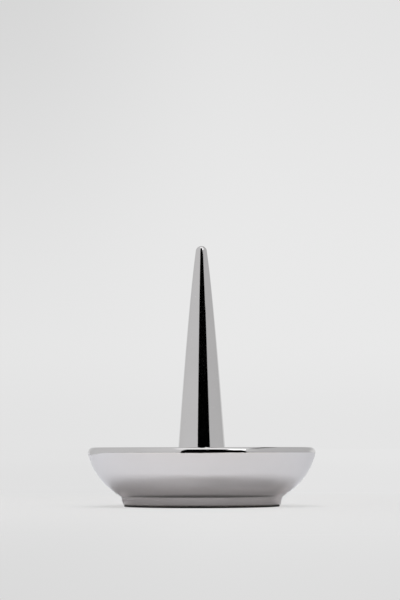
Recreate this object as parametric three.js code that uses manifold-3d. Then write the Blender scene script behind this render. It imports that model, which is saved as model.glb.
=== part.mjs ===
// Ring display stand: a polished cast dish on a low foot, with a tapered cone for rings
// standing in the middle of it. One screw from below holds the cone, and a felt pad
// covers the screw. Sizes are millimetres, Z is up, and the origin is the middle of the
// face that the stand rests on.

import * as THREE from "three";
import { mergeVertices } from "three/addons/utils/BufferGeometryUtils.js";
import ManifoldModule from "manifold-3d";

// Dish: the bowl wall is one curve from the crease over the foot to the rounded lip.
const rimDiameter = 100;
const dishHeight = 25.2;
const wallThickness = 4.6;
const wallLeanAtRim = THREE.MathUtils.degToRad(14);
const wallLeanAtFoot = THREE.MathUtils.degToRad(57.5);
const floorThickness = 3.6;

// Foot: a short ring that narrows towards its land.
const footDiameter = 68.8;
const footHeight = 3.6;
const footLean = THREE.MathUtils.degToRad(19.5);
const footLandWidth = 4;
const footEdgeRadius = 0.4;
const creaseSoftness = 0.35;
const recessCornerRadius = 1.2;
const recessDraft = THREE.MathUtils.degToRad(4);

// Ring cone: a nearly straight taper that bends in towards a round nose, set in a shallow seat.
const coneHeight = 105.9;
const coneBaseDiameter = 23;
const bendBelowTip = 27.2;
const noseRadius = 2.5;
const noseLean = THREE.MathUtils.degToRad(8);
const coneEdgeRadius = 0.4;
const seatDepth = 0.5;

// Fixing screw: the washers, head and holes all follow from the thread size.
const screwSize = 4;
const threadEngagement = 9;
const tappedRunOut = 3;

// Base pad and the adhesive ring that holds it to the land.
const padThickness = 0.65;
const padInset = 0.3;
const adhesiveThickness = 0.15;
const adhesiveMargin = 0.6;

// Clearances between pieces.
const seatClearance = 0.1;
const threadClearance = 0.05;
const screwHoleClearance = 0.25;
const washerClearance = 0.15;
const headRoom = 0.7;

// Facets around the axis and along each curve.
const aroundLarge = 64;
const aroundSmall = 28;
const alongCurve = 6;

// Fastener proportions.
const headRadius = screwSize;
const headHeight = 0.6 * screwSize;
const headRound = 0.3 * screwSize;
const crossSpan = 1.1 * screwSize;
const crossWidth = 0.26 * screwSize;
const crossDepth = 0.36 * screwSize;
const shankRadius = screwSize / 2 - threadClearance;
const tipChamfer = 0.1 * screwSize;
const washerRadius = 1.125 * screwSize;
const washerBore = screwSize / 2 + washerClearance;
const washerThickness = 0.2 * screwSize;
const lockWasherRadius = 0.95 * screwSize;
const lockWasherThickness = 0.225 * screwSize;
const lockWasherHalfGap = THREE.MathUtils.degToRad(8);

// Levels above the resting face.
const landZ = padThickness + adhesiveThickness;
const recessDepth = washerThickness + lockWasherThickness + headHeight + headRoom;
const ceilingZ = landZ + recessDepth;
const floorZ = ceilingZ + floorThickness;

// A point at a radius and a height in a half section.
const at = (radius, height) => new THREE.Vector2(radius, height);

// A unit step up a face that leans outwards from the upright.
const upLean = (lean) => at(Math.sin(lean), Math.cos(lean));

// Turns a half section about the upright axis.
function turned(section, around) {
  const geometry = new THREE.LatheGeometry(section.getPoints(alongCurve), around);
  return geometry.rotateX(Math.PI / 2);
}

// Half section of a plain ring that stands on height zero.
function ringSection(inner, outer, thickness) {
  const section = new THREE.Path();
  section.moveTo(inner, 0);
  section.lineTo(outer, 0);
  section.lineTo(outer, thickness);
  section.lineTo(inner, thickness);
  section.lineTo(inner, 0);
  return section;
}

const kernel = await ManifoldModule();
kernel.setup();

// Corners nearer to each other than this are one corner.
const weldDistance = 1e-4;

// Makes a solid for cutting, without the empty facets at the axis.
function toSolid(geometry) {
  const bare = new THREE.BufferGeometry();
  bare.setAttribute("position", geometry.getAttribute("position"));
  bare.setIndex(geometry.getIndex());
  const merged = mergeVertices(bare, weldDistance);
  const source = merged.getIndex().array;
  const triangles = [];
  for (let i = 0; i < source.length; i += 3) {
    const [a, b, c] = [source[i], source[i + 1], source[i + 2]];
    if (a !== b && b !== c && c !== a) {
      triangles.push(a, b, c);
    }
  }
  const vertProperties = Float32Array.from(merged.getAttribute("position").array);
  const triVerts = Uint32Array.from(triangles);
  return new kernel.Manifold(new kernel.Mesh({ numProp: 3, vertProperties, triVerts }));
}

// Brings a cut solid back as a geometry.
function toGeometry(solid) {
  const mesh = solid.getMesh();
  const geometry = new THREE.BufferGeometry();
  geometry.setAttribute("position", new THREE.BufferAttribute(mesh.vertProperties, 3));
  geometry.setIndex(new THREE.BufferAttribute(mesh.triVerts, 1));
  geometry.computeVertexNormals();
  return geometry;
}

// Dish with its foot, drawn from the land upwards.
function dishGeometry() {
  const footRadius = footDiameter / 2;
  const footUp = upLean(footLean);
  const wallUp = upLean(wallLeanAtFoot);
  const rimUp = upLean(wallLeanAtRim);
  const footCorner = at(footRadius, 0);
  const crease = footCorner.clone().addScaledVector(footUp, footHeight / footUp.y);
  const footStart = footCorner.clone().addScaledVector(footUp, footEdgeRadius);
  const footEnd = crease.clone().addScaledVector(footUp, -creaseSoftness);
  const wallStart = crease.clone().addScaledVector(wallUp, creaseSoftness);

  const lipRadius = wallThickness / 2;
  const lipCentre = at(rimDiameter / 2 - lipRadius, dishHeight - lipRadius);
  const rimNormal = at(rimUp.y, -rimUp.x);
  const wallEnd = lipCentre.clone().addScaledVector(rimNormal, lipRadius);
  const innerStart = lipCentre.clone().addScaledVector(rimNormal, -lipRadius);

  // The wall curve bends where its two end tangents meet.
  const span = wallEnd.clone().sub(wallStart);
  const reach = span.cross(rimUp) / wallUp.cross(rimUp);
  const wallBend = wallStart.clone().addScaledVector(wallUp, reach);

  const floorHeight = floorZ - landZ;
  const floorRadius = footRadius - wallThickness;
  const innerBend = innerStart.x - (innerStart.y - floorHeight) * Math.tan(wallLeanAtRim);
  const seatRadius = coneBaseDiameter / 2 + seatClearance;
  const seatHeight = floorHeight - seatDepth;
  const holeRadius = screwSize / 2 + screwHoleClearance;
  const landRadius = footRadius - footLandWidth;
  const recessTopRadius = landRadius - recessDepth * Math.tan(recessDraft);

  const section = new THREE.Path();
  section.moveTo(landRadius, 0);
  section.lineTo(footRadius - footEdgeRadius, 0);
  section.quadraticCurveTo(footCorner.x, footCorner.y, footStart.x, footStart.y);
  section.lineTo(footEnd.x, footEnd.y);
  section.quadraticCurveTo(crease.x, crease.y, wallStart.x, wallStart.y);
  section.quadraticCurveTo(wallBend.x, wallBend.y, wallEnd.x, wallEnd.y);
  section.absarc(lipCentre.x, lipCentre.y, lipRadius, -wallLeanAtRim, Math.PI - wallLeanAtRim);
  section.quadraticCurveTo(innerBend, floorHeight, floorRadius, floorHeight);
  section.lineTo(seatRadius, floorHeight);
  section.lineTo(seatRadius, seatHeight);
  section.lineTo(holeRadius, seatHeight);
  section.lineTo(holeRadius, recessDepth);
  section.lineTo(recessTopRadius - recessCornerRadius, recessDepth);
  section.quadraticCurveTo(recessTopRadius, recessDepth, recessTopRadius, recessDepth - recessCornerRadius);
  section.lineTo(landRadius, 0);
  return turned(section, aroundLarge);
}

// Cone with the tapped hole in its base, drawn from its seat upwards.
function coneGeometry() {
  const base = at(coneBaseDiameter / 2, 0);
  const noseCentre = coneHeight - noseRadius;
  const noseStart = at(noseRadius * Math.cos(noseLean), noseCentre + noseRadius * Math.sin(noseLean));
  const bendHeight = coneHeight - bendBelowTip;
  const bend = at(noseStart.x + (noseStart.y - bendHeight) * Math.tan(noseLean), bendHeight);
  const sideUp = bend.clone().sub(base).normalize();
  const edgeEnd = base.clone().addScaledVector(sideUp, coneEdgeRadius);
  const holeRadius = screwSize / 2;
  const holeTop = threadEngagement + tappedRunOut;
  const drillPoint = holeRadius / 2;

  const section = new THREE.Path();
  section.moveTo(0, holeTop + drillPoint);
  section.lineTo(holeRadius, holeTop);
  section.lineTo(holeRadius, 0);
  section.lineTo(base.x - coneEdgeRadius, 0);
  section.quadraticCurveTo(base.x, base.y, edgeEnd.x, edgeEnd.y);
  section.quadraticCurveTo(bend.x, bend.y, noseStart.x, noseStart.y);
  section.absarc(0, noseCentre, noseRadius, noseLean, Math.PI / 2);
  return turned(section, aroundLarge);
}

// Pan head screw with a cross recess, drawn from under its head upwards.
function screwGeometry() {
  const grip = washerThickness + lockWasherThickness + floorThickness - seatDepth;
  const length = grip + threadEngagement;
  const section = new THREE.Path();
  section.moveTo(0, -headHeight);
  section.lineTo(headRadius - headRound, -headHeight);
  section.quadraticCurveTo(headRadius, -headHeight, headRadius, headRound - headHeight);
  section.lineTo(headRadius, 0);
  section.lineTo(shankRadius, 0);
  section.lineTo(shankRadius, length - tipChamfer);
  section.lineTo(shankRadius - tipChamfer, length);
  section.lineTo(0, length);
  const body = toSolid(turned(section, aroundSmall));

  const slot = new THREE.BoxGeometry(crossSpan, crossWidth, 2 * crossDepth);
  slot.translate(0, 0, -headHeight);
  const across = toSolid(slot);
  const along = toSolid(slot.clone().rotateZ(Math.PI / 2));
  return toGeometry(body.subtract(across.add(along)));
}

// Split spring washer, pressed flat as it is when the screw is tight.
function lockWasherGeometry() {
  const outer = lockWasherRadius;
  const inner = washerBore;
  const outline = new THREE.Shape();
  outline.absarc(0, 0, outer, lockWasherHalfGap, 2 * Math.PI - lockWasherHalfGap);
  outline.absarc(0, 0, inner, 2 * Math.PI - lockWasherHalfGap, lockWasherHalfGap, true);
  const curveSegments = aroundSmall / 2;
  const depth = lockWasherThickness;
  return new THREE.ExtrudeGeometry(outline, { depth, bevelEnabled: false, curveSegments });
}

// Finishes.
const castMetal = { color: 0xd9d9db, roughness: 0.06, metalness: 1 };
const platedSteel = { color: 0xb4b8bd, roughness: 0.32, metalness: 1 };
const blackFelt = { color: 0x1b1b1d, roughness: 0.95, metalness: 0 };
const clearAdhesive = { color: 0xe6e1d2, roughness: 0.6, metalness: 0 };

// Makes one named piece and sets it at its level.
function piece(name, geometry, finish, level) {
  const mesh = new THREE.Mesh(geometry, new THREE.MeshStandardMaterial(finish));
  mesh.name = name;
  mesh.position.z = level;
  return mesh;
}

// Assembly, from the resting face upwards.
const padRadius = footDiameter / 2 - padInset;
const adhesiveInner = footDiameter / 2 - footLandWidth + adhesiveMargin;
const adhesiveOuter = padRadius - adhesiveMargin;
const washerZ = ceilingZ - washerThickness;
const lockWasherZ = washerZ - lockWasherThickness;
const padCorners = [at(0, 0), at(padRadius, 0), at(padRadius, padThickness), at(0, padThickness)];
const padSection = new THREE.Path(padCorners);

const ringStand = new THREE.Group();
ringStand.name = "ring_stand";
ringStand.add(piece("base_pad", turned(padSection, aroundLarge), blackFelt, 0));
ringStand.add(piece(
  "pad_adhesive",
  turned(ringSection(adhesiveInner, adhesiveOuter, adhesiveThickness), aroundLarge),
  clearAdhesive,
  padThickness,
));
ringStand.add(piece("dish", dishGeometry(), castMetal, landZ));

const coneFixing = new THREE.Group();
coneFixing.name = "cone_fixing";
coneFixing.add(piece(
  "flat_washer",
  turned(ringSection(washerBore, washerRadius, washerThickness), aroundSmall),
  platedSteel,
  washerZ,
));
coneFixing.add(piece("lock_washer", lockWasherGeometry(), platedSteel, lockWasherZ));
coneFixing.add(piece("fixing_screw", screwGeometry(), platedSteel, lockWasherZ));
ringStand.add(coneFixing);
ringStand.add(piece("ring_cone", coneGeometry(), castMetal, floorZ - seatDepth));

export default ringStand;
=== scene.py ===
"""Ring display stand: a polished cast dish and ring cone on a felt pad, in a plain studio."""

import logging
import math
from dataclasses import dataclass
from enum import Enum

import bmesh
import bpy
from mathutils import Matrix, Vector, noise


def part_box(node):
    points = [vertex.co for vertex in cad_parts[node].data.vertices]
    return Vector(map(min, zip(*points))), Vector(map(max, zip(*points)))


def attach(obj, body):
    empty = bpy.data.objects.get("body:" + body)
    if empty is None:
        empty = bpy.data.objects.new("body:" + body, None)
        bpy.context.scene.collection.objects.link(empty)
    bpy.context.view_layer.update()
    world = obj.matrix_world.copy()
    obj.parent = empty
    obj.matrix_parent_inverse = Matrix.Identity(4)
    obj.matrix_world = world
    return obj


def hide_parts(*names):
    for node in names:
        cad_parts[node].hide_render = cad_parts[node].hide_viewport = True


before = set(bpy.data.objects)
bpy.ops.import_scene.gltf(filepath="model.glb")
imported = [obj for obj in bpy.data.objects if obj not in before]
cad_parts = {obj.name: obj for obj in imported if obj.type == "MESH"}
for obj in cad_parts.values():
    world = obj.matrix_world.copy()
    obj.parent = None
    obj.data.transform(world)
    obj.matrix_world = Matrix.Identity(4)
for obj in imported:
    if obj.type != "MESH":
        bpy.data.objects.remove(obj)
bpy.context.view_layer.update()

LOG = logging.getLogger("ring_stand")
MM = 0.001
BODY = "root"
WELD = 1e-3 * MM
CRISP = math.radians(35.0)
NOISE_MIDDLE = (0.3, 0.7)
Socket = bpy.types.NodeSocket
Colour = tuple[float, float, float, float]
Pair = tuple[float, float]
Outline = tuple[Pair, ...]


class Slot(Enum):
    """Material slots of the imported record."""

    CAST_METAL = "cast_metal"
    PLATED_STEEL = "plated_steel"
    FELT = "felt"


class Ray(Enum):
    """Kinds of ray that a studio card may be hidden from."""

    CAMERA = "visible_camera"
    DIFFUSE = "visible_diffuse"
    SHADOW = "visible_shadow"


class Lie(Enum):
    """Ways to set up a studio card, by the axis that it stands across."""

    BESIDE = 0
    FACING = 1
    LEVEL = 2


def at(radius: float, height: float) -> Vector:
    """Return a point of a half section."""
    return Vector((radius, height))


def up_lean(lean: float) -> Vector:
    """Return a unit step up a face that leans outwards from the upright."""
    return at(math.sin(lean), math.cos(lean))


def meeting(start: Vector, along: Vector, end: Vector, back: Vector) -> Vector:
    """Find where two end tangents of a curve meet.

    Args:
        start: First end of the curve.
        along: Direction of the curve at its first end.
        end: Second end of the curve.
        back: Direction of the curve at its second end.

    Returns:
        The point where the tangents cross.
    """
    span = end - start
    reach = (span.x * back.y - span.y * back.x) / (along.x * back.y - along.y * back.x)
    return start + along * reach


class HalfSection:
    """A half section that is drawn in radius and height and then spun about the upright axis."""

    def __init__(self, start: Vector) -> None:
        """Start the section.

        Args:
            start: Its first point.
        """
        self.mesh = bmesh.new()
        self.first = self.mesh.verts.new((start.x, 0.0, start.y))
        self.last = self.first

    @property
    def here(self) -> Vector:
        """Return the last point of the section."""
        return at(self.last.co.x, self.last.co.z)

    def _join(self, point: Vector) -> None:
        """Add a point and the edge that leads to it.

        Args:
            point: Where the section goes next.
        """
        vert = self.mesh.verts.new((point.x, 0.0, point.y))
        self.mesh.edges.new((self.last, vert))
        self.last = vert

    def line(self, end: Vector, steps: int = 1) -> None:
        """Draw a straight stretch.

        Args:
            end: Where the stretch ends.
            steps: How many edges it has.
        """
        start = self.here
        for step in range(1, steps + 1):
            self._join(start.lerp(end, step / steps))

    def curve(self, bend: Vector, end: Vector, steps: int) -> None:
        """Draw a curve whose end tangents meet at a point.

        Args:
            bend: Where the end tangents meet.
            end: Where the curve ends.
            steps: How many edges it has.
        """
        start = self.here
        for step in range(1, steps + 1):
            share = step / steps
            self._join(start.lerp(bend, share).lerp(bend.lerp(end, share), share))

    def arc(self, centre: Vector, turn: float, steps: int) -> None:
        """Draw an arc from the last point.

        Args:
            centre: Middle of the arc.
            turn: Angle that the arc covers, positive from the radius towards the height.
            steps: How many edges it has.
        """
        spoke = self.here - centre
        for step in range(1, steps + 1):
            self._join(centre + Matrix.Rotation(turn * step / steps, 2) @ spoke)

    def close(self) -> "HalfSection":
        """Join the last point to the first and return the section."""
        self.mesh.edges.new((self.last, self.first))
        return self

    def spun(self, steps: int) -> bmesh.types.BMesh:
        """Return the mesh of a full turn, with so many faces round the axis."""
        return self._spin(steps, 2.0 * math.pi, 0.0, True)

    def wound(self, steps: int, turns: float, pitch: float) -> bmesh.types.BMesh:
        """Return the mesh of part of a turn or of a thread, with its steps and pitch per turn."""
        return self._spin(round(steps * turns), 2.0 * math.pi * turns, pitch / steps, False)

    def _spin(self, steps: int, angle: float, rise: float, whole: bool) -> bmesh.types.BMesh:
        """Spin the section.

        Args:
            steps: How many faces are made along the way.
            angle: Angle of the whole spin.
            rise: Rise in a step.
            whole: Whether the end meets the start.

        Returns:
            The mesh, with corners that meet merged and its faces pointing out.
        """
        bmesh.ops.spin(
            self.mesh,
            geom=self.mesh.verts[:] + self.mesh.edges[:],
            cent=(0.0, 0.0, 0.0),
            axis=(0.0, 0.0, 1.0),
            dvec=(0.0, 0.0, rise),
            angle=angle,
            steps=steps,
            use_merge=whole,
        )
        bmesh.ops.remove_doubles(self.mesh, verts=self.mesh.verts[:], dist=WELD)
        bmesh.ops.recalc_face_normals(self.mesh, faces=self.mesh.faces[:])
        return self.mesh


@dataclass(frozen=True)
class HandFinish:
    """Slight unevenness that polishing by hand leaves on a casting."""

    depth: float
    length: float
    seed: float

    def ease(self, mesh: bmesh.types.BMesh, low: float, fade: float) -> None:
        """Press the skin in by a smooth random depth.

        Args:
            mesh: The body to ease, in place.
            low: Height below which the skin stays as machined.
            fade: Height over which the unevenness grows to its full depth.
        """
        mesh.normal_update()
        shift = Vector((self.seed, 2.0 * self.seed, 3.0 * self.seed))
        for vert in mesh.verts:
            share = min(max((vert.co.z - low) / fade, 0.0), 1.0)
            wave = 0.5 + 0.5 * noise.noise(vert.co / self.length + shift)
            vert.co -= vert.normal * (self.depth * share * wave)


class NodeSheet:
    """A node tree with short ways to add and join nodes."""

    # The Mix node repeats its socket names for each data type, so its colour sockets go by place.
    COLOUR_INPUTS = (6, 7)
    COLOUR_OUTPUT = 2

    def __init__(self, tree: bpy.types.NodeTree) -> None:
        """Empty the tree and keep it."""
        self.tree = tree
        tree.nodes.clear()

    def add(self, kind: str, **values: object) -> bpy.types.Node:
        """Add a node.

        Args:
            kind: The node's full type name.
            **values: Settings of the node, by attribute name.

        Returns:
            The new node.
        """
        node = self.tree.nodes.new(kind)
        for key, value in values.items():
            setattr(node, key, value)
        return node

    def put(self, target: Socket, source: object) -> None:
        """Feed a socket from another socket, or set its value.

        Args:
            target: The socket to feed.
            source: A socket or a plain value.
        """
        if isinstance(source, bpy.types.NodeSocket):
            self.tree.links.new(source, target)
        else:
            target.default_value = source

    def math(self, operation: str, *inputs: object) -> Socket:
        """Add a Math node.

        Args:
            operation: Name of the operation.
            *inputs: Sockets or numbers, in order.

        Returns:
            The result's socket.
        """
        node = self.add("ShaderNodeMath", operation=operation)
        for socket, source in zip(node.inputs, inputs):
            self.put(socket, source)
        return node.outputs[0]

    def span(
        self, value: object, low: float, high: float, to_low: float = 0.0, to_high: float = 1.0
    ) -> Socket:
        """Map a value smoothly from one span to another.

        Args:
            value: The socket or number to map.
            low: Value that gives to_low.
            high: Value that gives to_high.
            to_low: Result at low and below.
            to_high: Result at high and above.

        Returns:
            The mapped value's socket.
        """
        node = self.add("ShaderNodeMapRange", interpolation_type="SMOOTHSTEP", clamp=True)
        for socket, source in zip(node.inputs, (value, low, high, to_low, to_high)):
            self.put(socket, source)
        return node.outputs["Result"]

    def noise(self, vector: Socket, scale: object, detail: float) -> Socket:
        """Add a noise texture.

        Args:
            vector: Where the noise is read.
            scale: Features per metre.
            detail: Number of finer layers.

        Returns:
            The noise value's socket.
        """
        node = self.add("ShaderNodeTexNoise", noise_dimensions="3D")
        self.put(node.inputs["Vector"], vector)
        self.put(node.inputs["Scale"], scale)
        node.inputs["Detail"].default_value = detail
        return node.outputs["Fac"]

    def blended(self, share: object, first: object, second: object) -> Socket:
        """Return the socket of a blend of two values, by the share of the second."""
        return self.math("MULTIPLY_ADD", share, self.math("SUBTRACT", second, first), first)

    def mixed(self, share: object, first: object, second: object) -> Socket:
        """Mix two colours.

        Args:
            share: Share of the second colour.
            first: First colour.
            second: Second colour.

        Returns:
            The mixed colour's socket.
        """
        node = self.add("ShaderNodeMix", data_type="RGBA")
        self.put(node.inputs["Factor"], share)
        for place, colour in zip(self.COLOUR_INPUTS, (first, second)):
            self.put(node.inputs[place], colour)
        return node.outputs[self.COLOUR_OUTPUT]

    def tinted(self, value: Socket, tint: object) -> Socket:
        """Multiply a colour by a value.

        Args:
            value: The value's socket.
            tint: The colour.

        Returns:
            The product's socket.
        """
        node = self.add("ShaderNodeVectorMath", operation="SCALE")
        self.put(node.inputs[0], tint)
        self.put(node.inputs["Scale"], value)
        return node.outputs[0]

    def bumped(self, height: Socket, depth: float) -> Socket:
        """Make a normal from a height.

        Args:
            height: The height, from 0 to 1.
            depth: What a height of 1 measures.

        Returns:
            The normal's socket.
        """
        node = self.add("ShaderNodeBump")
        node.inputs["Distance"].default_value = depth
        self.put(node.inputs["Height"], height)
        return node.outputs["Normal"]

    def show(self, surface: Socket, kind: str = "ShaderNodeOutputMaterial") -> None:
        """Show a surface at an output of the given kind."""
        self.put(self.add(kind).inputs["Surface"], surface)


def grey(value: float) -> Colour:
    """Return a neutral colour."""
    return (value, value, value, 1.0)


def new_material(name: str) -> tuple[bpy.types.Material, NodeSheet]:
    """Start a material with nothing on it.

    Args:
        name: The material's name.

    Returns:
        The material and its empty node sheet.
    """
    material = bpy.data.materials.new(name)
    material.use_nodes = True
    return material, NodeSheet(material.node_tree)


def principled(name: str) -> tuple[bpy.types.Material, NodeSheet, bpy.types.Node]:
    """Start a material with one surface shader.

    Args:
        name: The material's name.

    Returns:
        The material, its node sheet and its shader node.
    """
    material, sheet = new_material(name)
    shader = sheet.add("ShaderNodeBsdfPrincipled")
    sheet.show(shader.outputs[0])
    return material, sheet, shader


class PolishMarks:
    """Shared node group for the marks that a polishing wheel leaves round a turned piece."""

    NAME = "polish_marks"
    RUN_OUT = 0.4 * MM
    RING_DETAIL = 2.0
    SMUDGE_DETAIL = 3.0
    SMUDGED = (0.35, 0.75)

    def __init__(self) -> None:
        """Build the group once."""
        self.tree = bpy.data.node_groups.new(self.NAME, "ShaderNodeTree")
        face = self.tree.interface
        for label in ("Ring Density", "Smudge Density", "Smooth", "Hazy", "Tone Loss"):
            face.new_socket(label, in_out="INPUT", socket_type="NodeSocketFloat")
        for label in ("Tone", "Roughness", "Height"):
            face.new_socket(label, in_out="OUTPUT", socket_type="NodeSocketFloat")
        self._draw()

    def _draw(self) -> None:
        """Draw the group's nodes."""
        sheet = NodeSheet(self.tree)
        given = sheet.add("NodeGroupInput").outputs
        made = sheet.add("NodeGroupOutput").inputs
        place = sheet.add("ShaderNodeTexCoord").outputs["Object"]
        parts = sheet.add("ShaderNodeSeparateXYZ")
        sheet.put(parts.inputs[0], place)
        x, y, z = parts.outputs
        radius = sheet.math("SQRT", sheet.math("MULTIPLY_ADD", x, x, sheet.math("MULTIPLY", y, y)))
        rings = sheet.add("ShaderNodeCombineXYZ")
        sheet.put(rings.inputs["X"], radius)
        sheet.put(rings.inputs["Y"], z)
        run_out = sheet.math("MULTIPLY", sheet.math("ARCTAN2", y, x), self.RUN_OUT)
        sheet.put(rings.inputs["Z"], run_out)
        line = sheet.noise(rings.outputs[0], given["Ring Density"], self.RING_DETAIL)
        smudge = sheet.noise(place, given["Smudge Density"], self.SMUDGE_DETAIL)
        cloud = sheet.span(smudge, *self.SMUDGED)
        haze = sheet.math("MULTIPLY", cloud, line)
        sheet.put(made["Height"], line)
        step = sheet.math("SUBTRACT", given["Hazy"], given["Smooth"])
        sheet.put(made["Roughness"], sheet.math("MULTIPLY_ADD", haze, step, given["Smooth"]))
        loss = sheet.math("MULTIPLY", cloud, given["Tone Loss"])
        sheet.put(made["Tone"], sheet.math("SUBTRACT", 1.0, loss))


@dataclass(frozen=True)
class PolishedMetal:
    """Bright cast metal, polished on a wheel."""

    name: str
    smudge_density: float
    hazy: float
    mark_depth: float
    bright: Colour = (0.808, 0.796, 0.8, 1.0)
    dull: Colour = (0.747, 0.736, 0.738, 1.0)
    ring_density: float = 5200.0
    smooth: float = 0.05
    tone_loss: float = 0.35
    edge_tone: float = 0.87

    def material(self, marks: PolishMarks) -> bpy.types.Material:
        """Make the material.

        Args:
            marks: The shared group of polishing marks.

        Returns:
            The new material.
        """
        material, sheet, shader = principled(self.name)
        group = sheet.add("ShaderNodeGroup", node_tree=marks.tree)
        group.inputs["Ring Density"].default_value = self.ring_density
        group.inputs["Smudge Density"].default_value = self.smudge_density
        group.inputs["Smooth"].default_value = self.smooth
        group.inputs["Hazy"].default_value = self.hazy
        group.inputs["Tone Loss"].default_value = self.tone_loss
        colour = sheet.mixed(group.outputs["Tone"], self.dull, self.bright)
        sheet.put(shader.inputs["Base Color"], colour)
        sheet.put(shader.inputs["Roughness"], group.outputs["Roughness"])
        shader.inputs["Metallic"].default_value = 1.0
        shader.inputs["Specular Tint"].default_value = grey(self.edge_tone)
        sheet.put(shader.inputs["Normal"], sheet.bumped(group.outputs["Height"], self.mark_depth))
        return material


@dataclass(frozen=True)
class PressedFelt:
    """Dense black felt, die cut."""

    name: str
    dark: Colour = (0.006, 0.006, 0.006, 1.0)
    light: Colour = (0.03, 0.03, 0.03, 1.0)
    fibre_density: float = 3800.0
    fibre_detail: float = 6.0
    tuft_density: float = 900.0
    tuft_detail: float = 3.0
    fibre_depth: float = 0.12 * MM
    raised: Pair = (0.15, 0.4)
    rough: Pair = (0.85, 1.0)
    sheen: float = 0.25

    def material(self) -> bpy.types.Material:
        """Make the material.

        Returns:
            The new material.
        """
        material, sheet, shader = principled(self.name)
        place = sheet.add("ShaderNodeTexCoord").outputs["Object"]
        fibres = sheet.noise(place, self.fibre_density, self.fibre_detail)
        tufts = sheet.noise(place, self.tuft_density, self.tuft_detail)
        pile = sheet.math("MULTIPLY", fibres, tufts)
        share = sheet.span(pile, *self.raised)
        sheet.put(shader.inputs["Base Color"], sheet.mixed(share, self.dark, self.light))
        sheet.put(shader.inputs["Roughness"], sheet.span(fibres, *NOISE_MIDDLE, *self.rough))
        shader.inputs["Sheen Weight"].default_value = self.sheen
        sheet.put(shader.inputs["Normal"], sheet.bumped(pile, self.fibre_depth))
        return material


@dataclass(frozen=True)
class PlatedSteel:
    """Zinc plated steel of a small fastener."""

    name: str
    bright: Colour = (0.64, 0.645, 0.655, 1.0)
    dull: Colour = (0.56, 0.565, 0.57, 1.0)
    grain_density: float = 3200.0
    grain_detail: float = 4.0
    rough: Pair = (0.26, 0.36)

    def material(self) -> bpy.types.Material:
        """Make the material.

        Returns:
            The new material.
        """
        material, sheet, shader = principled(self.name)
        place = sheet.add("ShaderNodeTexCoord").outputs["Object"]
        grain = sheet.noise(place, self.grain_density, self.grain_detail)
        sheet.put(shader.inputs["Base Color"], sheet.mixed(grain, self.dull, self.bright))
        sheet.put(shader.inputs["Roughness"], sheet.span(grain, *NOISE_MIDDLE, *self.rough))
        shader.inputs["Metallic"].default_value = 1.0
        return material


@dataclass(frozen=True)
class AdhesiveFilm:
    """Double-sided film, slightly yellow."""

    name: str
    pale: Colour = (0.78, 0.74, 0.64, 1.0)
    amber: Colour = (0.66, 0.6, 0.47, 1.0)
    cloud_density: float = 300.0
    cloud_detail: float = 3.0
    rough: Pair = (0.35, 0.6)

    def material(self) -> bpy.types.Material:
        """Make the material.

        Returns:
            The new material.
        """
        material, sheet, shader = principled(self.name)
        place = sheet.add("ShaderNodeTexCoord").outputs["Object"]
        cloud = sheet.noise(place, self.cloud_density, self.cloud_detail)
        sheet.put(shader.inputs["Base Color"], sheet.mixed(cloud, self.pale, self.amber))
        sheet.put(shader.inputs["Roughness"], sheet.span(cloud, *NOISE_MIDDLE, *self.rough))
        return material


def as_object(mesh: bmesh.types.BMesh, name: str) -> bpy.types.Object:
    """Turn a bmesh into an object of the scene.

    Args:
        mesh: The body; it is freed.
        name: Name of the object and its mesh.

    Returns:
        The new object, at the origin.
    """
    data = bpy.data.meshes.new(name)
    mesh.to_mesh(data)
    mesh.free()
    made = bpy.data.objects.new(name, data)
    bpy.context.scene.collection.objects.link(made)
    return made


def smooth_piece(mesh: bmesh.types.BMesh, name: str) -> bpy.types.Object:
    """Make a smooth shaded piece that keeps its real edges crisp.

    Args:
        mesh: The body; it is freed.
        name: Name of the piece.

    Returns:
        The new object.
    """
    for face in mesh.faces:
        face.smooth = True
    for edge in mesh.edges:
        edge.smooth = edge.calc_face_angle(0.0) < CRISP
    return as_object(mesh, name)


def fit_piece(piece: bpy.types.Object, node: str, material: bpy.types.Material) -> None:
    """Dress a piece and put it in the place of its solid.

    Args:
        piece: The finished piece.
        node: Name of the solid that it stands for.
        material: The piece's finish.
    """
    piece.data.materials.append(material)
    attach(piece, BODY)
    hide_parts(node)
    LOG.info("%s: %d faces, for %s", piece.name, len(piece.data.polygons), node)


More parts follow.
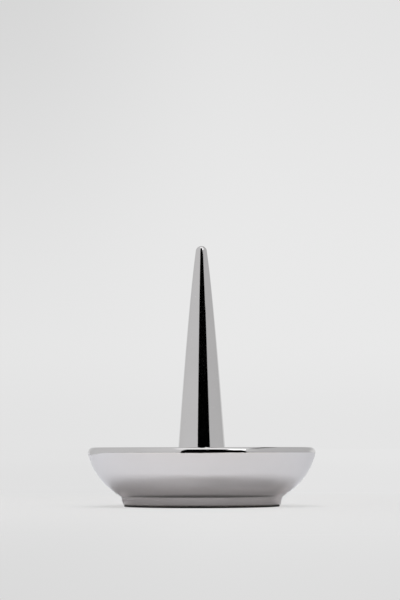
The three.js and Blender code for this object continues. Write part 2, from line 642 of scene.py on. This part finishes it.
@dataclass
class Dish:
    """The cast dish with its lip, its foot and the seat for the cone."""

    rim_radius: float
    land_z: float
    lip_z: float
    cone_radius: float
    seat_z: float
    wall: float = 4.6 * MM
    lean_at_rim: float = math.radians(14.0)
    lean_at_foot: float = math.radians(57.5)
    floor_z: float = 9.2 * MM
    ceiling_z: float = 5.6 * MM
    foot_radius: float = 34.4 * MM
    foot_height: float = 3.6 * MM
    foot_lean: float = math.radians(19.5)
    foot_edge: float = 0.4 * MM
    land_width: float = 4.0 * MM
    crease_above: float = 0.3 * MM
    crease_below: float = 0.8 * MM
    recess_corner: float = 1.2 * MM
    recess_inset: float = 0.34 * MM
    hole_radius: float = 2.25 * MM
    seat_clearance: float = 0.1 * MM
    seat_edge: float = 0.12 * MM
    around: int = 288

    @classmethod
    def from_frame(cls, cone: "RingCone") -> "Dish":
        """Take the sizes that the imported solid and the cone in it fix."""
        low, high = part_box("dish")
        return cls(high.x, low.z, high.z, cone.base_radius, cone.seat_z)

    def section(self) -> HalfSection:
        """Draw the half section, from the land round to the recess.

        Returns:
            The closed section.
        """
        foot_up = up_lean(self.foot_lean)
        wall_up = up_lean(self.lean_at_foot)
        rim_up = up_lean(self.lean_at_rim)
        corner = at(self.foot_radius, self.land_z)
        crease = corner + foot_up * (self.foot_height / foot_up.y)
        wall_start = crease + wall_up * self.crease_above
        lip = self.wall / 2.0
        lip_centre = at(self.rim_radius - lip, self.lip_z - lip)
        outward = at(rim_up.y, -rim_up.x)
        wall_end = lip_centre + outward * lip
        inner_start = lip_centre - outward * lip
        floor_radius = self.foot_radius - self.wall
        inner_bend = inner_start.x - (inner_start.y - self.floor_z) * math.tan(self.lean_at_rim)
        land_radius = self.foot_radius - self.land_width
        recess_radius = land_radius - self.recess_inset
        recess = at(recess_radius, self.ceiling_z)
        recess_wall = at(recess_radius, self.ceiling_z - self.recess_corner)
        seat_radius = self.cone_radius + self.seat_clearance
        seat = at(seat_radius, self.floor_z)
        seat_wall = at(seat_radius, self.floor_z - self.seat_edge)

        drawn = HalfSection(at(land_radius, self.land_z))
        drawn.line(at(self.foot_radius - self.foot_edge, self.land_z), steps=3)
        drawn.curve(corner, corner + foot_up * self.foot_edge, steps=8)
        drawn.line(crease - foot_up * self.crease_below, steps=6)
        drawn.curve(crease, wall_start, steps=10)
        drawn.curve(meeting(wall_start, wall_up, wall_end, rim_up), wall_end, steps=48)
        drawn.arc(lip_centre, math.pi, steps=44)
        drawn.curve(at(inner_bend, self.floor_z), at(floor_radius, self.floor_z), steps=44)
        drawn.line(at(seat_radius + self.seat_edge, self.floor_z), steps=10)
        drawn.curve(seat, seat_wall, steps=4)
        drawn.line(at(seat_radius, self.seat_z))
        drawn.line(at(self.hole_radius, self.seat_z), steps=2)
        drawn.line(at(self.hole_radius, self.ceiling_z))
        drawn.line(at(recess_radius - self.recess_corner, self.ceiling_z), steps=4)
        drawn.curve(recess, recess_wall, steps=6)
        return drawn.close()

    def build(self, finish: HandFinish) -> bpy.types.Object:
        """Build the dish.

        Args:
            finish: The unevenness of its polished skin.

        Returns:
            The dish as an object.
        """
        mesh = self.section().spun(self.around)
        finish.ease(mesh, self.floor_z, self.lip_z - self.floor_z)
        return smooth_piece(mesh, "polished_dish")

    def dress(self, piece: bpy.types.Object, material: bpy.types.Material) -> None:
        """Put the polished dish in the place of its solid."""
        fit_piece(piece, "dish", material)


@dataclass
class RingCone:
    """The turned cone that rings are slid on to."""

    seat_z: float
    tip_z: float
    base_radius: float = 11.5 * MM
    bend_below_tip: float = 27.2 * MM
    nose: float = 2.5 * MM
    nose_lean: float = math.radians(8.0)
    edge: float = 0.4 * MM
    hole_radius: float = 2.0 * MM
    hole_depth: float = 12.0 * MM
    drill_point: float = 1.0 * MM
    skin_fade: float = 12.0 * MM
    around: int = 224

    @classmethod
    def from_frame(cls) -> "RingCone":
        """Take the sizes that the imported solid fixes."""
        low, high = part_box("ring_cone")
        return cls(low.z, high.z)

    def section(self) -> HalfSection:
        """Draw the half section, from the tapped hole to the tip.

        Returns:
            The section, with both ends on the axis.
        """
        base = at(self.base_radius, self.seat_z)
        nose_centre = at(0.0, self.tip_z - self.nose)
        nose_side = at(math.cos(self.nose_lean), math.sin(self.nose_lean))
        nose_start = nose_centre + nose_side * self.nose
        bend_z = self.tip_z - self.bend_below_tip
        bend = at(nose_start.x + (nose_start.y - bend_z) * math.tan(self.nose_lean), bend_z)
        edge_end = base + (bend - base).normalized() * self.edge
        hole_top = self.seat_z + self.hole_depth

        drawn = HalfSection(at(0.0, hole_top + self.drill_point))
        drawn.line(at(self.hole_radius, hole_top))
        drawn.line(at(self.hole_radius, self.seat_z), steps=4)
        drawn.line(at(base.x - self.edge, base.y), steps=3)
        drawn.curve(base, edge_end, steps=6)
        drawn.curve(bend, nose_start, steps=150)
        drawn.arc(nose_centre, math.pi / 2.0 - self.nose_lean, steps=28)
        return drawn

    def build(self, finish: HandFinish) -> bpy.types.Object:
        """Build the cone.

        Args:
            finish: The unevenness of its polished skin.

        Returns:
            The cone as an object.
        """
        mesh = self.section().spun(self.around)
        finish.ease(mesh, self.seat_z + self.hole_depth, self.skin_fade)
        return smooth_piece(mesh, "polished_cone")

    def dress(self, piece: bpy.types.Object, material: bpy.types.Material) -> None:
        """Put the polished cone in the place of its solid."""
        fit_piece(piece, "ring_cone", material)


@dataclass
class BasePad:
    """The felt disc under the foot."""

    radius: float
    low_z: float
    top_z: float
    edge: float = 0.2 * MM
    around: int = 192

    @classmethod
    def from_frame(cls) -> "BasePad":
        """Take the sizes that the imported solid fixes."""
        low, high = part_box("base_pad")
        return cls(high.x, low.z, high.z)

    def build(self) -> bpy.types.Object:
        """Build the pad, with cut edges that are slightly soft.

        Returns:
            The pad as an object.
        """
        drawn = HalfSection(at(0.0, self.low_z))
        drawn.line(at(self.radius - self.edge, self.low_z), steps=24)
        drawn.curve(at(self.radius, self.low_z), at(self.radius, self.low_z + self.edge), steps=4)
        drawn.line(at(self.radius, self.top_z - self.edge))
        drawn.curve(at(self.radius, self.top_z), at(self.radius - self.edge, self.top_z), steps=4)
        drawn.line(at(0.0, self.top_z), steps=24)
        return smooth_piece(drawn.spun(self.around), "felt_pad")

    def dress(self, piece: bpy.types.Object, material: bpy.types.Material) -> None:
        """Put the felt pad in the place of its solid."""
        fit_piece(piece, "base_pad", material)


@dataclass
class FixingScrew:
    """The pan head screw that draws the cone down on to its seat."""

    head_radius: float
    low_z: float
    tip_z: float
    head_height: float = 2.4 * MM
    head_round: float = 1.2 * MM
    cross_half: float = 2.2 * MM
    slot_half: float = 0.52 * MM
    cross_depth: float = 1.44 * MM
    cross_taper: float = 0.8
    crest: float = 1.95 * MM
    root: float = 1.52 * MM
    pitch: float = 0.7 * MM
    root_flat: float = 0.167
    crest_flat: float = 0.125
    chamfer: float = 0.4 * MM
    sink: float = 0.3 * MM
    lead_in: float = 1.3
    spare_turns: int = 2
    around_head: int = 96
    around_thread: int = 36

    @classmethod
    def from_frame(cls) -> "FixingScrew":
        """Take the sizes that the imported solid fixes."""
        low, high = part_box("fixing_screw")
        return cls(high.x, low.z, high.z)

    def _head(self) -> bmesh.types.BMesh:
        """Build the head with its cross recess, from its rounded face upwards.

        Returns:
            The head's mesh.
        """
        top_z = self.low_z + self.head_height
        side = at(self.head_radius, self.low_z + self.head_round)
        drawn = HalfSection(at(self.head_radius - self.head_round, self.low_z))
        drawn.curve(at(self.head_radius, self.low_z), side, steps=12)
        drawn.line(at(self.head_radius, top_z))
        drawn.line(at(0.0, top_z), steps=4)
        mesh = drawn.spun(self.around_head)

        rim = [edge for edge in mesh.edges if edge.is_boundary]
        mouth = self._cross(mesh)
        bmesh.ops.triangle_fill(mesh, use_beauty=True, edges=rim + mouth)
        walls = bmesh.ops.extrude_edge_only(mesh, edges=mouth)["geom"]
        floor = [part for part in walls if isinstance(part, bmesh.types.BMVert)]
        for vert in floor:
            vert.co.x *= self.cross_taper
            vert.co.y *= self.cross_taper
            vert.co.z += self.cross_depth
        bmesh.ops.edgeloop_fill(mesh, edges=[edge for edge in mesh.edges if edge.is_boundary])
        bmesh.ops.recalc_face_normals(mesh, faces=mesh.faces[:])
        return mesh

    def _cross(self, mesh: bmesh.types.BMesh) -> list[bmesh.types.BMEdge]:
        """Draw the mouth of the cross recess.

        Args:
            mesh: The head to draw in.

        Returns:
            The edges of the closed outline.
        """
        end, side = self.cross_half, self.slot_half
        wing = ((end, -side), (end, side), (side, side))
        verts = []
        for quarter in range(4):
            turn = Matrix.Rotation(quarter * math.pi / 2.0, 2)
            for corner in wing:
                place = turn @ Vector(corner)
                verts.append(mesh.verts.new((place.x, place.y, self.low_z)))
        return [mesh.edges.new((verts[i - 1], verts[i])) for i in range(len(verts))]

    def _thread(self) -> bmesh.types.BMesh:
        """Build the threaded shank, from a flat start in the head to a chamfered end.

        Returns:
            The shank's mesh.
        """
        start_z = self.low_z + self.head_height - self.sink
        turns = math.ceil((self.tip_z - start_z) / self.pitch) + self.spare_turns
        low = start_z - self.lead_in * self.pitch
        half_root = self.root_flat / 2.0
        half_crest = self.crest_flat / 2.0
        turn = (
            (self.root, half_root),
            (self.crest, 0.5 - half_crest),
            (self.crest, 0.5 + half_crest),
            (self.root, 1.0 - half_root),
            (self.root, 1.0),
        )
        drawn = HalfSection(at(self.root, low))
        for radius, share in turn:
            drawn.line(at(radius, low + self.pitch * share))
        mesh = drawn.wound(self.around_thread, turns, self.pitch)
        for level, up in ((start_z, -1.0), (self.tip_z, 1.0)):
            cut = bmesh.ops.bisect_plane(
                mesh,
                geom=mesh.verts[:] + mesh.edges[:] + mesh.faces[:],
                plane_co=(0.0, 0.0, level),
                plane_no=(0.0, 0.0, up),
                clear_outer=True,
            )
            ring = [part for part in cut["geom_cut"] if isinstance(part, bmesh.types.BMEdge)]
            bmesh.ops.edgeloop_fill(mesh, edges=ring)
        for vert in mesh.verts:
            reach = self.crest - max(0.0, vert.co.z - (self.tip_z - self.chamfer))
            radius = math.hypot(vert.co.x, vert.co.y)
            if radius > reach:
                vert.co.x *= reach / radius
                vert.co.y *= reach / radius
        bmesh.ops.recalc_face_normals(mesh, faces=mesh.faces[:])
        return mesh

    def build(self) -> bpy.types.Object:
        """Build the screw from its head and its threaded shank.

        Returns:
            The screw as an object.
        """
        whole = self._head()
        shank = bpy.data.meshes.new("shank")
        thread = self._thread()
        thread.to_mesh(shank)
        thread.free()
        whole.from_mesh(shank)
        bpy.data.meshes.remove(shank)
        return smooth_piece(whole, "threaded_screw")

    def dress(self, piece: bpy.types.Object, material: bpy.types.Material) -> None:
        """Put the threaded screw in the place of its solid."""
        fit_piece(piece, "fixing_screw", material)


@dataclass
class Washer:
    """A steel washer with eased edges, whole or split."""

    node: str
    name: str
    outer: float
    low_z: float
    top_z: float
    half_gap: float = 0.0
    bore: float = 2.15 * MM
    edge: float = 0.1 * MM
    slant: float = math.radians(9.0)
    around: int = 72

    @classmethod
    def from_frame(cls, node: str, name: str, half_gap: float = 0.0) -> "Washer":
        """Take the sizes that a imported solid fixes; half the angle of a gap splits the washer."""
        # A split opens towards positive x, so the far side gives the radius.
        low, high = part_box(node)
        return cls(node, name, -low.x, low.z, high.z, half_gap)

    def build(self) -> bpy.types.Object:
        """Build the washer.

        Returns:
            The washer as an object.
        """
        drawn = HalfSection(at(self.bore + self.edge, self.low_z))
        drawn.line(at(self.outer - self.edge, self.low_z), steps=3)
        drawn.curve(at(self.outer, self.low_z), at(self.outer, self.low_z + self.edge), steps=4)
        drawn.line(at(self.outer, self.top_z - self.edge))
        drawn.curve(at(self.outer, self.top_z), at(self.outer - self.edge, self.top_z), steps=4)
        drawn.line(at(self.bore + self.edge, self.top_z), steps=3)
        drawn.curve(at(self.bore, self.top_z), at(self.bore, self.top_z - self.edge), steps=4)
        drawn.line(at(self.bore, self.low_z + self.edge))
        drawn.curve(at(self.bore, self.low_z), at(self.bore + self.edge, self.low_z), steps=4)
        mesh = drawn.spun(self.around) if self.half_gap == 0.0 else self._split(drawn)
        return smooth_piece(mesh, self.name)

    def _split(self, drawn: HalfSection) -> bmesh.types.BMesh:
        """Spin the section short of a full turn, close its ends and slant them.

        Args:
            drawn: The washer's section.

        Returns:
            The split ring.
        """
        mesh = drawn.wound(self.around, 1.0 - self.half_gap / math.pi, 0.0)
        ends = [edge for edge in mesh.edges if edge.is_boundary]
        bmesh.ops.edgenet_fill(mesh, edges=ends)
        middle = (self.low_z + self.top_z) / 2.0
        for vert in mesh.verts:
            share = (vert.co.z - middle) / (self.top_z - self.low_z)
            vert.co = Matrix.Rotation(self.half_gap + self.slant * share, 3, "Z") @ vert.co
        bmesh.ops.recalc_face_normals(mesh, faces=mesh.faces[:])
        return mesh

    def dress(self, piece: bpy.types.Object, material: bpy.types.Material) -> None:
        """Put the washer in the place of its solid."""
        fit_piece(piece, self.node, material)


@dataclass
class AdhesiveRing:
    """The thin ring of film between the pad and the land, which keeps the shape of its solid."""

    node: str = "pad_adhesive"

    def dress(self, material: bpy.types.Material) -> None:
        """Give the solid its finish.

        Args:
            material: The film's material.
        """
        solid = bpy.data.objects[self.node]
        solid.data.materials.clear()
        solid.data.materials.append(material)
        LOG.info("%s: solid with %s", self.node, material.name)


@dataclass(frozen=True)
class PhotoCamera:
    """The camera, where the picture was taken from."""

    distance: float = 1.2
    height: float = 26.5 * MM
    tilt: float = math.radians(3.064)
    roll: float = math.radians(-0.12)
    focal_pixels: float = 2727.0
    frame_height: float = 600.0
    axis_offset_pixels: float = 1.45
    sensor: float = 36.0
    clip: Pair = (0.01, 100.0)

    def build(self) -> None:
        """Stand the camera and make it the scene's own."""
        data = bpy.data.cameras.new("camera")
        data.sensor_width = self.sensor
        data.lens = self.focal_pixels * self.sensor / self.frame_height
        data.clip_start, data.clip_end = self.clip
        turn = Matrix.Rotation(self.axis_offset_pixels / self.focal_pixels, 4, "Z")
        turn @= Matrix.Rotation(math.pi / 2.0 + self.tilt, 4, "X")
        turn @= Matrix.Rotation(self.roll, 4, "Z")
        camera = bpy.data.objects.new("camera", data)
        camera.matrix_world = Matrix.Translation((0.0, -self.distance, self.height)) @ turn
        bpy.context.scene.collection.objects.link(camera)
        bpy.context.scene.camera = camera


@dataclass(frozen=True)
class SideGlow:
    """Painted light, or painted shade if the amount is negative, in the table's colour round the
    foot.
    """

    amount: float
    across: Pair
    ahead: Pair
    rise: Pair
    fall: Pair

    def gain(self, sheet: NodeSheet, across: Socket, ahead: Socket, reach: Socket) -> Socket:
        """Make the gain that the painted light gives the table's colour.

        Args:
            sheet: Node tree of the table's finish.
            across: Place across the table.
            ahead: Place along the table.
            reach: Distance from the object's axis.

        Returns:
            The gain's socket.
        """
        full = sheet.span(across, *self.across, 0.0, self.amount)
        begun = sheet.span(reach, *self.rise)
        kept = sheet.math("MULTIPLY", sheet.span(ahead, *self.ahead), begun)
        share = sheet.math("MULTIPLY", kept, sheet.span(reach, *self.fall, 1.0, 0.0))
        return sheet.math("MULTIPLY_ADD", full, share, 1.0)


# Painted light on the table to the right and the left of the foot, and painted shade in front of
# it.
RIGHT_GLOW = SideGlow(
    amount=0.44,
    across=(0.0, 20.0 * MM),
    ahead=(-17.0 * MM, 1.0 * MM),
    rise=(0.0, 1.0 * MM),
    fall=(38.0 * MM, 54.0 * MM),
)
LEFT_GLOW = SideGlow(
    amount=0.3,
    across=(0.0, -20.0 * MM),
    ahead=(-17.0 * MM, 1.0 * MM),
    rise=(0.0, 1.0 * MM),
    fall=(37.5 * MM, 42.0 * MM),
)
FRONT_SHADE = SideGlow(
    amount=-0.13,
    across=(-12.0 * MM, 14.0 * MM),
    ahead=(-18.0 * MM, -27.0 * MM),
    rise=(39.0 * MM, 43.0 * MM),
    fall=(45.0 * MM, 52.0 * MM),
)


@dataclass(frozen=True)
class PaleFloor:
    """The pale table top, whose shadow is light in the picture and full in reflections, where its
    colour also carries painted light and shade round the foot.
    """

    size: float = 40.0
    # Painted light: the tones make the table lighter on the left than on the right, standing in for
    # light that falls more on the left.
    tone_x: Pair = (-0.12, 0.12)
    tones: Pair = (0.86, 0.79)
    front_tint: Colour = (1.068, 1.0, 0.95, 1.0)
    side_tint: Colour = (1.025, 1.0, 1.0, 1.0)
    seen_tint: Colour = (1.04, 1.0, 0.96, 1.0)
    tint_y: Pair = (-0.2, 0.05)
    # Painted shade: close round the foot the table's colour darkens to shade_gain, standing in for
    # the foot's contact shadow.
    shade_reach: Pair = (34.2 * MM, 36.2 * MM)
    shade_gain: float = 0.6
    # Painted light and shade beside and in front of the foot.
    glows: tuple[SideGlow, ...] = (LEFT_GLOW, RIGHT_GLOW, FRONT_SHADE)
    flat_reach: Pair = (0.1, 0.4)
    flat_share: float = 0.72
    near_y: Pair = (-1.0, -0.1)
    near_tones: Pair = (0.714, 0.776)
    far_y: Pair = (0.3, 5.0)
    far_gains: Pair = (1.0, 1.02)
    mirrored_y: Pair = (0.3, 1.2)
    left_x: Pair = (-0.045, 0.01)
    left_gains: Pair = (0.965, 1.0)

    def build(self) -> None:
        """Lay the floor."""
        mesh = bmesh.new()
        bmesh.ops.create_grid(mesh, x_segments=2, y_segments=2, size=self.size / 2.0)
        floor = as_object(mesh, "floor")
        material, sheet = new_material("pale_floor")
        place = sheet.add("ShaderNodeTexCoord").outputs["Object"]
        parts = sheet.add("ShaderNodeSeparateXYZ")
        sheet.put(parts.inputs[0], place)
        across, ahead = parts.outputs["X"], parts.outputs["Y"]
        length = sheet.add("ShaderNodeVectorMath", operation="LENGTH")
        sheet.put(length.inputs[0], place)
        reach = length.outputs["Value"]
        seen = sheet.add("ShaderNodeLightPath").outputs["Is Camera Ray"]

        lit = sheet.add("ShaderNodeBsdfDiffuse")
        # The table's pale tone, with painted light that makes it lighter on the left.
        tone_and_painted_side_light = sheet.span(across, *self.tone_x, *self.tones)
        # Painted shade round the foot, then painted light and shade beside it, in the colour that
        # every ray but the camera's sees.
        shade = sheet.span(reach, *self.shade_reach, self.shade_gain, 1.0)
        for glow in self.glows:
            shade = sheet.math("MULTIPLY", shade, glow.gain(sheet, across, ahead, reach))
        side = sheet.span(ahead, *self.tint_y)
        tint = sheet.tinted(shade, sheet.mixed(side, self.front_tint, self.side_tint))
        colour = sheet.mixed(seen, tint, self.seen_tint)
        sheet.put(lit.inputs["Color"], sheet.tinted(tone_and_painted_side_light, colour))

        flat = sheet.add("ShaderNodeEmission")
        near = sheet.span(ahead, *self.near_y, *self.near_tones)
        far = sheet.span(ahead, *self.far_y, *self.far_gains)
        left = sheet.span(across, *self.left_x, *self.left_gains)
        tone = sheet.math("MULTIPLY", sheet.math("MULTIPLY", near, far), left)
        sheet.put(flat.inputs["Color"], tone)

        share = sheet.span(reach, *self.flat_reach, self.flat_share, 1.0)
        mirrored = sheet.span(ahead, *self.mirrored_y)
        mix = sheet.add("ShaderNodeMixShader")
        sheet.put(mix.inputs[0], sheet.blended(seen, mirrored, share))
        sheet.put(mix.inputs[1], lit.outputs[0])
        sheet.put(mix.inputs[2], flat.outputs[0])
        sheet.show(mix.outputs[0])
        floor.data.materials.append(material)


@dataclass(frozen=True)
class GreyRoom:
    """The pale backdrop that the camera sees and the grey room that the metal reflects."""

    backdrop_up: Pair = (0.06, 0.2)
    backdrop_tones: Pair = (0.813, 0.76)
    horizon_up: Pair = (0.004, 0.04)
    horizon_gains: Pair = (0.963, 1.0)
    corner_across: Pair = (-0.08, 0.02)
    corner_up: Pair = (0.0, 0.2)
    corner_losses: Pair = (0.02, 0.13)
    side_across: Pair = (-0.3, 0.3)
    side_tones: Pair = (0.615, 0.526)
    behind_ahead: Pair = (0.74, 0.86)
    behind_up: Pair = (0.1, 0.3)
    ceiling_up: Pair = (0.6, 0.8)
    ceiling_tone: float = 0.15

    def build(self) -> None:
        """Paint the world."""
        world = bpy.data.worlds.new("studio")
        world.use_nodes = True
        sheet = NodeSheet(world.node_tree)
        parts = sheet.add("ShaderNodeSeparateXYZ")
        sheet.put(parts.inputs[0], sheet.add("ShaderNodeTexCoord").outputs["Generated"])
        across, ahead, up = parts.outputs
        corner = sheet.span(across, *self.corner_across, 1.0, 0.0)
        loss = sheet.math("MULTIPLY", corner, sheet.span(up, *self.corner_up, *self.corner_losses))
        kept = sheet.math("SUBTRACT", 1.0, loss)
        wall = sheet.math("MULTIPLY", kept, sheet.span(up, *self.backdrop_up, *self.backdrop_tones))
        horizon = sheet.span(up, *self.horizon_up, *self.horizon_gains)
        backdrop = sheet.math("MULTIPLY", wall, horizon)
        sides = sheet.span(across, *self.side_across, *self.side_tones)
        below = sheet.span(up, *self.behind_up, 1.0, 0.0)
        behind = sheet.math("MULTIPLY", below, sheet.span(ahead, *self.behind_ahead))
        walls = sheet.blended(behind, sides, backdrop)
        room = sheet.blended(sheet.span(up, *self.ceiling_up), walls, self.ceiling_tone)
        seen = sheet.add("ShaderNodeLightPath").outputs["Is Camera Ray"]
        background = sheet.add("ShaderNodeBackground")
        sheet.put(background.inputs["Color"], sheet.blended(seen, room, backdrop))
        sheet.show(background.outputs[0], "ShaderNodeOutputWorld")
        bpy.context.scene.world = world


@dataclass(frozen=True)
class Softbox:
    """A soft light over the table, which casts the shadow under the dish."""

    name: str
    width: float
    depth: float
    x: float
    y: float
    radiance: float
    height: float = 2.4
    tint: tuple[float, float, float] = (0.95, 1.0, 1.06)

    def build(self) -> None:
        """Hang the light; the metal sees its card instead of it."""
        data = bpy.data.lights.new(self.name, "AREA")
        data.shape = "RECTANGLE"
        data.size = self.width
        data.size_y = self.depth
        data.color = self.tint
        data.energy = self.radiance * math.pi * self.width * self.depth
        light = bpy.data.objects.new(self.name, data)
        light.location = (self.x, self.y, self.height)
        light.visible_glossy = False
        bpy.context.scene.collection.objects.link(light)


@dataclass(frozen=True)
class StudioCard:
    """A flat card that the metal reflects and the camera looks past."""

    name: str
    lie: Lie
    place: float
    outline: Outline
    tone: float
    hidden_from: tuple[Ray, ...]

    def build(self) -> None:
        """Make the card, with its outline on the two axes that its lie leaves open."""
        mesh = bmesh.new()
        corners = []
        for pair in self.outline:
            corner = list(pair)
            corner.insert(self.lie.value, self.place)
            corners.append(mesh.verts.new(corner))
        mesh.faces.new(corners)
        card = as_object(mesh, self.name)
        material, sheet = new_material(self.name)
        glow = sheet.add("ShaderNodeEmission")
        glow.inputs["Color"].default_value = grey(self.tone)
        sheet.show(glow.outputs[0])
        card.data.materials.append(material)
        for ray in self.hidden_from:
            setattr(card, ray.value, False)


LIGHTS = (
    Softbox("overhead_softbox", width=1.38, depth=0.62, x=-0.04, y=0.02, radiance=8.6),
    Softbox("front_softbox", width=1.68, depth=1.2, x=0.0, y=-1.25, radiance=3.1),
)

# The dark flag makes the black stripe on the cone: its left edge, its right edge up to the
# notch that ends the stripe in a point, and the tall part that darkens the middle of the lip.
FLAG = (
    (-0.365, 0.0),
    (1.06, 0.0),
    (0.88, 0.2),
    (0.84, 0.27),
    (0.84, 0.35),
    (0.75, 0.385),
    (0.72, 0.44),
    (0.68, 0.47),
    (0.75, 0.532),
    (0.47, 0.505),
    (0.44, 0.64),
    (0.4, 1.3),
    (0.9, 1.6),
    (0.9, 4.0),
    (-0.62, 4.0),
    (-0.42, 1.1),
)
# The lip card carries the dark line on to the right half of the lip.
LIP_CARD = ((0.02, 0.0275), (0.0685, 0.0275), (0.08, 0.117), (0.04, 0.092), (0.02, 0.115))
# The apron is painted shade: a black sheet on the table in front that only the metal sees, which
# darkens the foot and the lower wall.
SHADE_SHEET = ((-0.07, -0.2), (0.0, -0.19), (0.06, -0.27), (0.13, -0.42), (0.5, -1.0), (-0.39, -1.0))
# The left card tones what the left side of the dish reflects.
LEFT_CARD = ((0.07, 0.0), (0.2, 0.0), (0.2, 0.35), (-0.04, 0.35), (-0.04, 0.036))
# Overhead, the faces of two soft lights stand in a grey ceiling with a dark gap.
KEY = ((-0.6, -0.456), (1.2, -0.456), (1.2, 0.24), (-0.6, 0.24))
FILL = ((0.7, -0.3), (1.025, 0.0), (2.025, -1.4), (2.5, -2.75), (1.3, -2.75))
CEILING = ((-3.6, -3.6), (3.6, -3.6), (3.6, 3.6), (-3.6, 3.6))
CEILING_RIGHT = ((1.16, -0.58), (4.64, -1.74), (4.64, 6.96), (0.725, 6.96))
GAP = ((0.95, 0.625), (1.175, 0.75), (0.75, 4.75), (0.5, 4.75))

UNSEEN = (Ray.CAMERA, Ray.SHADOW)
MIRRORED_ONLY = (Ray.CAMERA, Ray.DIFFUSE, Ray.SHADOW)
CARDS = (
    StudioCard("dark_flag", Lie.FACING, -1.0, FLAG, tone=0.0, hidden_from=UNSEEN),
    StudioCard("dark_apron", Lie.LEVEL, 0.001, SHADE_SHEET, tone=0.0, hidden_from=MIRRORED_ONLY),
    StudioCard("grey_ceiling", Lie.LEVEL, 3.0, CEILING, tone=0.64, hidden_from=MIRRORED_ONLY),
    StudioCard("softbox_face", Lie.LEVEL, 2.4, KEY, tone=1.3, hidden_from=MIRRORED_ONLY),
    StudioCard("fill_face", Lie.LEVEL, 2.5, FILL, tone=1.9, hidden_from=UNSEEN),
    StudioCard(
        "grey_ceiling_right", Lie.LEVEL, 2.9, CEILING_RIGHT, tone=0.53, hidden_from=MIRRORED_ONLY
    ),
    StudioCard("ceiling_gap", Lie.LEVEL, 2.5, GAP, tone=0.08, hidden_from=MIRRORED_ONLY),
    StudioCard("left_card", Lie.BESIDE, -0.135, LEFT_CARD, tone=0.615, hidden_from=MIRRORED_ONLY),
    StudioCard("lip_card", Lie.FACING, -0.096, LIP_CARD, tone=0.0, hidden_from=MIRRORED_ONLY),
)

MIRROR_DISH = PolishedMetal("polished_dish", smudge_density=40.0, hazy=0.11, mark_depth=3e-7)
MIRROR_CONE = PolishedMetal("polished_cone", smudge_density=55.0, hazy=0.1, mark_depth=1.2e-7)
BLACK_FELT = PressedFelt("black_felt")
ZINC_STEEL = PlatedSteel("zinc_steel")
CLEAR_FILM = AdhesiveFilm("clear_film")
CONE_SKIN = HandFinish(depth=0.05 * MM, length=17.0 * MM, seed=3.7)
DISH_SKIN = HandFinish(depth=0.03 * MM, length=15.0 * MM, seed=8.2)
SPRING_HALF_GAP = math.radians(8.0)


def washers() -> tuple[Washer, Washer]:
    """Return the plain washer and the split one."""
    plain = Washer.from_frame("flat_washer", "plain_washer")
    return plain, Washer.from_frame("lock_washer", "spring_washer", SPRING_HALF_GAP)


def main() -> None:
    """Build the stand and its studio, in order."""
    logging.basicConfig(level=logging.INFO, format="%(message)s")
    bpy.context.scene.view_settings.view_transform = "Standard"

    for stage in (PhotoCamera(), PaleFloor(), GreyRoom(), *LIGHTS, *CARDS):
        stage.build()

    marks = PolishMarks()
    cone = RingCone.from_frame()
    cone.dress(cone.build(CONE_SKIN), MIRROR_CONE.material(marks))
    dish = Dish.from_frame(cone)
    dish.dress(dish.build(DISH_SKIN), MIRROR_DISH.material(marks))
    pad = BasePad.from_frame()
    pad.dress(pad.build(), BLACK_FELT.material())
    steel = ZINC_STEEL.material()
    for fixing in (FixingScrew.from_frame(), *washers()):
        fixing.dress(fixing.build(), steel)
    AdhesiveRing().dress(CLEAR_FILM.material())


if __name__ == "__main__":
    main()
